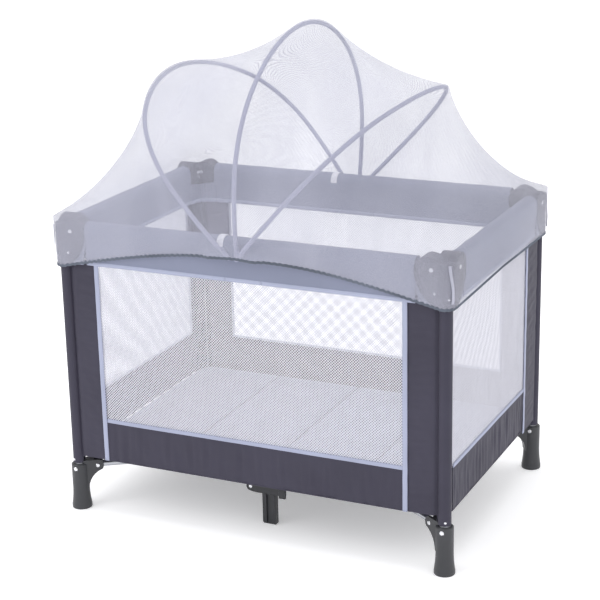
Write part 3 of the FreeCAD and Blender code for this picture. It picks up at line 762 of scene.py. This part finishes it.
def mattress_panel(index):
    """One stuffed panel: crowned faces and pulled-in seams."""
    node = "mattress_panel_%d" % (index + 1)
    low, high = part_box(node)
    size_x, size_y = high[0] - low[0], high[1] - low[1]
    columns, rows = 40, 96
    centre_x, centre_z = (low[0] + high[0]) / 2, (low[2] + high[2]) / 2
    thick = (high[2] - low[2]) / 2
    outer = {0: -1, 3: 1}.get(index, 0)       # the end panels have two rounded corners
    points = []
    for face in (1, -1):
        for v in steps(-1, 1, rows):
            for u in steps(-1, 1, columns):
                x = centre_x + u * size_x / 2
                y = v * size_y / 2
                if outer:
                    a, b = rounded(outer * (x - centre_x), abs(y), size_x / 2, size_y / 2, 42 * MM)
                    x, y = centre_x + outer * a, math.copysign(b, y)
                edge = min((1 - abs(u)) * size_x / 2, (1 - abs(v)) * size_y / 2)
                crown = 1 - math.exp(-edge / (7 * MM))
                puff = 0.32 + 0.66 * crown
                soft = ripple((x, y, 0), 6, 41 + index) * 0.06 + ripple((x, y, 3), 22, 44) * 0.03
                points.append(Vector((x, y, centre_z + face * thick * min(0.98, puff + soft))))
    count = rows * columns
    faces = []
    for quad in grid_faces(rows, columns):
        faces += [quad, tuple(k + count for k in reversed(quad))]
    rim = list(range(columns))
    rim += [j * columns + columns - 1 for j in range(1, rows)]
    rim += [(rows - 1) * columns + i for i in range(columns - 2, -1, -1)]
    rim += [j * columns for j in range(rows - 2, 0, -1)]
    for a, b in zip(rim, rim[1:] + rim[:1]):
        faces.append((b, a, a + count, b + count))
    made = mesh_piece("mattress_pad_%d" % (index + 1), points, faces, "mattress",
                      "mattress_%d" % (index + 1))
    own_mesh(made)
    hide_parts(node)


def mattress_seam(index):
    """Stitched hinge seam between two panels, low in the valley between them."""
    low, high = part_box("mattress_panel_%d" % (index + 1))
    z = high[2] - 5.0 * MM
    line = [Vector((high[0] + 0.4 * MM + ripple((0, y, 0), 12, 61 + index) * 0.8 * MM, y, z))
            for y in steps(low[1] + 6 * MM, high[1] - 6 * MM, 90)]
    across = Vector((1, 0, 0))
    made = ribbon("mattress_seam_%d" % (index + 1), line, lambda i: across, 4.4 * MM, 1.6 * MM, "seam",
                  "mattress_%d" % (index + 1))
    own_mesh(made)


for index in range(4):
    mattress_panel(index)
for index in range(3):
    mattress_seam(index)


# ---- insect net ----
def hoop_path(name, offset, low):
    """Points along a hoop's five arcs, or along a line outside them, front foot to back foot."""
    pivot_x, lean, foot, wide, crown, height, shoulder_r = HOOPS[name]
    inset = wide - foot
    leg_r = (height ** 2 + inset ** 2) / (2 * inset)
    rise = crown - height - shoulder_r
    drop = ((wide - shoulder_r) ** 2 - rise ** 2) / (2 * rise)
    turn = math.atan2(drop, wide - shoulder_r)
    start = -math.asin((height - low) / (leg_r + offset))
    arcs = ((wide - leg_r, height, leg_r + offset, start, 0.0),
            (wide - shoulder_r, height, shoulder_r + offset, 0.0, turn),
            (0.0, height - drop, crown - height + drop + offset, turn, math.pi / 2))
    half = []
    for across, up, radius, first, last in arcs:
        for k in range(24):
            angle = first + (last - first) * k / 24
            half.append((across + radius * math.cos(angle), up + radius * math.sin(angle)))
    half.append((0.0, crown + offset))
    plane = [(-a, t) for a, t in half] + [(a, t) for a, t in reversed(half[:-1])]
    tilt = math.radians(lean)
    return np.array([(pivot_x + t * math.sin(tilt), a, HOOP_Z + t * math.cos(tilt)) for a, t in plane])


def net_line(name, share):
    """Points of the net over a hoop at shares of its length, from the front rim to the back rim."""
    low = (NET_RIM_Z - HOOP_Z) / math.cos(math.radians(HOOPS[name][1]))
    path = hoop_path(name, NET_OFFSET, low)
    along = path_shares(path)
    return np.stack([np.interp(share, along, path[:, k]) for k in range(3)], axis=1)


def rim_y(x):
    return NET_Y + 17 * MM * math.exp(-(x / (110 * MM)) ** 2)


def rim_side(end, first_x):
    """Rim of one end of the net round the rails, from the front hoop foot to the back one."""
    along, across, turn = 18, 22, 5
    r = NET_X - POST_X
    half = []
    for k in range(along):
        x = first_x + (end * POST_X - first_x) * k / along
        half.append((x, -rim_y(x)))
    for k in range(turn):
        angle = math.radians(90) * k / turn
        half.append((end * (POST_X + r * math.sin(angle)), -POST_Y - r * math.cos(angle)))
    for k in range(across // 2):
        half.append((end * NET_X, -POST_Y * (1 - 2 * k / across)))
    path = half + [(end * NET_X, 0.0)] + [(x, -y) for x, y in reversed(half)]
    return np.array([(x, y, NET_RIM_Z) for x, y in path])


def path_shares(path):
    lengths = np.concatenate([[0], np.cumsum(np.linalg.norm(np.diff(path, axis=0), axis=1))])
    return lengths / lengths[-1]


def film(edge_a, edge_b, rows, rounds=900):
    """Stretched film between two edges: every free point settles to the mean of its neighbours."""
    t = np.linspace(0, 1, rows + 1)[:, None, None]
    grid = edge_a[None] * (1 - t) + edge_b[None] * t
    length_u = np.linalg.norm(np.diff(grid, axis=0), axis=2).mean(axis=0)[1:-1, None]
    length_v = np.linalg.norm(np.diff(grid, axis=1), axis=2)
    wide = 0.5 * (length_v[1:-1, :-1] + length_v[1:-1, 1:])[..., None]
    weight_u = wide / np.maximum(length_u[None], 1e-4)
    weight_v = 1 / np.maximum(weight_u, 1e-3)
    for _ in range(rounds):
        up, down = grid[2:, 1:-1], grid[:-2, 1:-1]
        left, right = grid[1:-1, :-2], grid[1:-1, 2:]
        total = weight_u * (up + down) + weight_v * (left + right)
        grid[1:-1, 1:-1] = total / (2 * (weight_u + weight_v))
    return grid


def hem_height(x, y):
    if abs(x) >= POST_X - 1e-6:
        return 646 * MM - 6 * MM * abs(y) / POST_Y
    return 640 * MM + 68 * MM * math.cos(0.5 * math.pi * x / POST_X)


def fold_net(piece):
    """Gives a piece of the net its own copy of its mesh."""
    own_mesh(piece)


def net():
    left, right = rim_side(-1, net_line("left", [0])[0][0]), rim_side(1, net_line("right", [0])[0][0])
    share = path_shares(left)
    lines = {name: net_line(name, share) for name in HOOPS}
    for rim, name in ((left, "left"), (right, "right")):
        rim[0], rim[-1] = lines[name][0], lines[name][-1]
    grids = [film(left, lines["left"], 16), film(lines["left"], lines["centre"], 10),
             film(lines["centre"], lines["right"], 10), film(lines["right"], right, 16)]
    front = [g[0] for g in grids[1]] + [g[0] for g in grids[2]][1:]
    back = [g[-1] for g in grids[1]] + [g[-1] for g in grids[2]][1:]
    loop = list(left[::-1]) + front[1:-1] + list(right) + back[::-1][1:]
    skirt = []
    for down in steps(0, 1, 9):
        row = []
        pull = 1 - 0.006 * down ** 2
        for p in loop:
            z = p[2] + (hem_height(p[0], p[1]) - p[2]) * down
            bulge = max(0.0, abs(p[1]) - NET_Y) * 0.12 * down
            row.append((p[0] * pull, p[1] * pull - math.copysign(bulge, p[1]), z))
        skirt.append(np.array(row))
    grids.append(np.array(skirt))
    points, index, faces = [], {}, []

    def number(p):
        key = tuple(np.round(p, 6))
        if key not in index:
            index[key] = len(points)
            points.append(Vector(p))
        return index[key]

    for grid in grids:
        for a, b in zip(grid, grid[1:]):
            for k in range(len(a) - 1):
                quad = (number(a[k]), number(a[k + 1]), number(b[k + 1]), number(b[k]))
                face = tuple(dict.fromkeys(quad))
                if len(face) > 2:
                    faces.append(face)
    made = mesh_piece("net_film", points, faces, "net", "net")
    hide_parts("insect_net")
    fold_net(made)
    hem_line(grids[-1][-1])


def hem_line(edge):
    """Gathered elastic along the net's lower edge."""
    loop = [Vector(p) for p in edge[:-1]]
    fine = []
    for a, b in zip(loop, loop[1:] + loop[:1]):
        pieces = max(1, int((b - a).length / (3.2 * MM)))
        fine += [a.lerp(b, k / pieces) for k in range(pieces)]
    count = len(fine)
    rows = [(-0.2, 3.6), (0.8, 2.8), (1.1, 1.9), (0.1, 0.9), (0.9, -0.3), (1.2, -1.3), (0.1, -2.4)]
    points = []
    length = 0.0
    for i, p in enumerate(fine):
        if max(abs(abs(p.x) - POST_X), abs(abs(p.y) - POST_Y)) <= 60 * MM:
            outward = Vector((p.x / POST_X ** 2, p.y / POST_Y ** 2, 0)).normalized()
        elif abs(p.x) > POST_X:
            outward = Vector((math.copysign(1, p.x), 0, 0))
        else:
            outward = Vector((0, math.copysign(1, p.y), 0))
        length += (fine[(i + 1) % count] - p).length
        gather = math.sin(length / (13 * MM) * 2 * math.pi + 3 * ripple(p, 18, 51))
        loose = 1.0 + 0.8 * ripple(p, 9, 53)
        for out, up in rows:
            shift = out * MM + gather * loose * 1.5 * MM * (0.35 + 0.65 * abs(up) / 5)
            drop = gather * loose * 1.0 * MM
            points.append(p + outward * shift + Vector((0, 0, up * MM + drop)))
    made = mesh_piece("net_hem", points, grid_faces(count, len(rows), wrap_rows=True), "hem", "net")
    thicken(made, 0.9 * MM)
    fold_net(made)


def hoop_channel(name):
    """Fabric channel sewn to the net round a hoop, a little fuller than the rod inside it."""
    path = [Vector(p) for p in hoop_path(name, 0.0, 34 * MM)]
    radius = 5.0 * MM
    count, sides = len(path), 12
    points = []
    for i, p in enumerate(path):
        ahead = heading(path, i)
        tilt = math.radians(HOOPS[name][1])
        level = Vector((math.cos(tilt), 0, -math.sin(tilt)))
        other = ahead.cross(level)
        for k in range(sides):
            angle = 2 * math.pi * k / sides
            r = radius * (1 + 0.05 * ripple(p + level * math.cos(angle) * 9 * MM, 70, 71))
            points.append(p + level * (r * 1.08 * math.cos(angle)) + other * (r * math.sin(angle)))
    body = "net" if name == "centre" else "net_hoop_" + name
    mesh_piece("hoop_channel_" + name, points, tube_faces(count, sides), "hoop", body)


def net_crease_and_highlight(corner):
    """Doubled net at a corner, where the skirt turns: a pale upright fold whose denser cover is also a
    painted highlight along the corner.
    """
    sx, sy = CORNERS[corner]
    line, outs = [], []
    for z in steps(654 * MM, 741 * MM, 40):
        turn = math.radians(45 + 9 * math.sin((z - 640 * MM) / (22 * MM)))
        r = NET_X - POST_X + 1.2 * MM + ripple((sx, sy, z * 3), 20, 81) * 0.8 * MM
        line.append(Vector((sx * (POST_X + r * math.sin(turn)), sy * (POST_Y + r * math.cos(turn)), z)))
        outs.append(Vector((sx * math.cos(turn), -sy * math.sin(turn), 0)))
    # Pale strip of denser net: a painted highlight along the corner fold
    made = ribbon("net_crease_and_highlight_" + corner, line, lambda i: outs[i], 7 * MM, 1.0 * MM, "net_fold_and_highlight", "net")
    fold_net(made)


net()
for name in HOOPS:
    hoop_channel(name)
for corner in CORNERS:
    net_crease_and_highlight(corner)


# ---- straps that hold the net to the rails, and clips on the base tubes ----
def rail_strap(side, along):
    """White elastic loop over a long rail, from the hoop pivot to the inner face of the cover."""
    section = [(a, z) for a, z in pad_section() if z > 728 * MM]
    section = [(section[0][0] - 0.5 * MM, 729 * MM)] + section + [(section[-1][0] + 2.5 * MM, 731 * MM)]
    lift = 1.4 * MM
    line = []
    for a, z in section:
        clear = Vector((a, z - RAIL_Z)).normalized() * lift
        line.append(place(side, along, half_depth(side) + a + clear.x, z + clear.y))
    wide = place(side, 1, 0, 0)
    made = ribbon("net_strap_" + side, line, lambda i: wide, 17 * MM, 1.8 * MM, "white",
                  "rail_%s_left" % side)
    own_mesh(made)


rail_strap("front", -56 * MM)
rail_strap("back", 62 * MM)


def tube_clip(corner):
    """Black saddle on a base tube that holds the floor fabric to it."""
    sx, sy = CORNERS[corner]
    out = Vector((sx * POST_X, sy * POST_Y, 0)).normalized()
    across = Vector((-out.y, out.x, 0))
    centre = out * (0.64 * math.hypot(POST_X, POST_Y))
    base_z = middle("base_tube_" + corner).z
    outline = [(a, z - (9 * MM if z < -6 * MM else 0)) for a, z in arc(11.5 * MM, -200, 20, 13)]
    outline += [(17 * MM, 15 * MM), (16 * MM, 28 * MM), (-16 * MM, 28 * MM), (-17 * MM, 15 * MM)]
    points = []
    rows = 6
    for i, s in enumerate(steps(-15 * MM, 15 * MM, rows)):
        trim = 0.88 if i in (0, rows - 1) else 1.0
        for a, z in outline:
            points.append(centre + out * s + across * (a * trim) + Vector((0, 0, base_z + z * trim)))
    mesh_piece("tube_clip_" + corner, points, tube_faces(rows, len(outline)), "black", "tube_" + corner)


def plate(name, outline, near, far, body):
    """Flat black plate facing along Y: an outline of (x, z) between two depths, with eased edges."""
    n = len(outline)
    cx = sum(x for x, z in outline) / n
    cz = sum(z for x, z in outline) / n
    edge = 0.8 * MM
    points = []
    for y, trim in ((near, edge), (near + math.copysign(edge, far - near), 0.0),
                    (far - math.copysign(edge, far - near), 0.0), (far, edge)):
        for x, z in outline:
            away = Vector((x - cx, z - cz))
            away = away * (1 - trim / max(away.length, 1e-6))
            points.append(Vector((cx + away.x, y, cz + away.y)))
    made = mesh_piece(name, points, tube_faces(4, n), "black", body)
    made.data.set_sharp_from_angle(angle=math.radians(35))


def dome(name, centre, normal, radius, height, body):
    """Round rivet head: a low dome with a narrow flat rim, set into its surface."""
    normal = Vector(normal).normalized()
    u = normal.orthogonal().normalized()
    v = normal.cross(u)
    sides = 20
    profile = [(radius, -1.5 * MM)] + [(radius * a, height * b) for a, b in arc(1, 8, 86, 7)]
    points = []
    for r, h in profile:
        points += ring(centre + normal * h, u, v, r, sides)
    return mesh_piece(name, points, tube_faces(len(profile), sides), "rivet", body)


def leg_bracket(side):
    """Black plate across the head of a middle leg, with a riveted ear and a folded tab."""
    sign = -1 if side == "front" else 1
    low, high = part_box("mid_leg_" + side)
    y = low[1] if sign < 0 else high[1]
    ear = arc(11 * MM, 90, 270, 9, (-49 * MM, 93 * MM))
    outline = ear + [(-38 * MM, 80 * MM), (46 * MM, 80 * MM), (48 * MM, 84 * MM), (48 * MM, 104 * MM)]
    body = "leg_" + side

    def part(name, outline, near, far):
        """Plate drawn as on the front leg, at two depths out from the leg's face."""
        if sign > 0:
            outline = [(-x, z) for x, z in reversed(outline)]
        plate(name, outline, y + sign * near, y + sign * far, body)

    part("leg_plate_" + side, outline, 0.2 * MM, 3.0 * MM)
    for name, x0, x1, z0, z1, far in (("leg_tab_" + side, 30, 47, 76, 100, 8.0),
                                      ("leg_flange_%s_a" % side, -16.4, -5.5, 4, 82, 3.4),
                                      ("leg_flange_%s_b" % side, 5.0, 16.4, 4, 82, 3.4)):
        corners = ((x0, z0), (x1, z0), (x1, z1), (x0, z1))
        part(name, [(x * MM, z * MM) for x, z in corners], -0.5 * MM, far * MM)
    x = -48 * MM if sign < 0 else 48 * MM
    head = Vector((x, y + sign * 3.0 * MM, 94 * MM))
    dome("leg_rivet_" + side, head, (0, sign, 0), 4.6 * MM, 1.6 * MM, body)


for side in LONG_SIDES:
    leg_bracket(side)


def cap_rivets(corner):
    """Small rivets of a corner: at the foot of the cap, in its inner corner and on the sleeve."""
    sx, sy = CORNERS[corner]
    spots = (
        ("lower", (19.5 * MM, -CAP_HALF, 674 * MM), (0, -1), 3.3 * MM),
        ("column", (-CAP_HALF * 0.6, -CAP_HALF * 0.8, 663 * MM), (-0.6, -0.8), 3.3 * MM),
        ("inner", (CAP_HALF, CAP_HALF, 712 * MM), (0.7, 0.7), 3.6 * MM),
        ("sleeve", (-SLEEVE_R * 0.42, -SLEEVE_R * 0.93, 131 * MM), (-0.42, -0.93), 3.2 * MM),
    )
    for label, (a, b, z), (na, nb), radius in spots:
        dome("%s_rivet_%s" % (label, corner), by_corner(corner, a, b, z), (-sx * na, -sy * nb, 0),
             radius, 1.5 * MM, "corner_" + corner)


for corner in CORNERS:
    tube_clip(corner)
    cap_rivets(corner)


# ---- floor, light and camera ----
def studio():
    data = bpy.data.meshes.new("studio_floor")
    size = 14.0
    data.from_pydata([(-size, -size, 0), (size, -size, 0), (size, size, 0), (-size, size, 0)], [],
                     [(0, 1, 2, 3)])
    ground = bpy.data.objects.new("studio_floor", data)
    bpy.context.scene.collection.objects.link(ground)
    surface = Finish("studio_floor", srgb(250, 250, 252), 0.9)
    surface.bsdf.inputs["Emission Color"].default_value = (1, 1, 1, 1)
    surface.bsdf.inputs["Emission Strength"].default_value = 0.3
    data.materials.append(surface.mat)
    world = bpy.data.worlds.new("studio_world")
    world.use_nodes = True
    sky = world.node_tree.nodes["Background"].inputs
    sky["Color"].default_value = (1, 1, 1, 1)
    sky["Strength"].default_value = 0.95
    bpy.context.scene.world = world
    bpy.context.scene.view_settings.view_transform = "Standard"
    lamps = (
        ("key", (-2.6, -3.4, 3.6), 3.0, 60.0),
        ("fill", (3.8, -1.6, 2.4), 3.0, 8.0),
        ("top", (0.0, 0.6, 4.2), 3.5, 45.0),
    )
    for name, where, size, power in lamps:
        light = bpy.data.lights.new(name, "AREA")
        light.shape = "SQUARE"
        light.size = size
        light.energy = power
        lamp = bpy.data.objects.new(name, light)
        lamp.location = where
        aim = Vector((0, 0, 0.5)) - Vector(where)
        lamp.rotation_euler = aim.to_track_quat("-Z", "Y").to_euler()
        bpy.context.scene.collection.objects.link(lamp)


def camera():
    data = bpy.data.cameras.new("camera")
    data.sensor_width = 36.0
    data.lens = CAMERA_LENS
    data.clip_end = 60.0
    made = bpy.data.objects.new("camera", data)
    yaw, pitch, roll = (math.radians(v) for v in CAMERA_YAW_PITCH_ROLL)
    turn = Matrix.Rotation(yaw, 4, "Z") @ Matrix.Rotation(pitch, 4, "X") @ Matrix.Rotation(roll, 4, "Z")
    made.matrix_world = Matrix.Translation(Vector(CAMERA_PLACE)) @ turn
    bpy.context.scene.collection.objects.link(made)
    bpy.context.scene.camera = made


CAMERA_LENS = 99.22
CAMERA_PLACE = (1.6564, -3.5738, 1.7435)
CAMERA_YAW_PITCH_ROLL = (25.152, 72.536, -1.211)

studio()
camera()
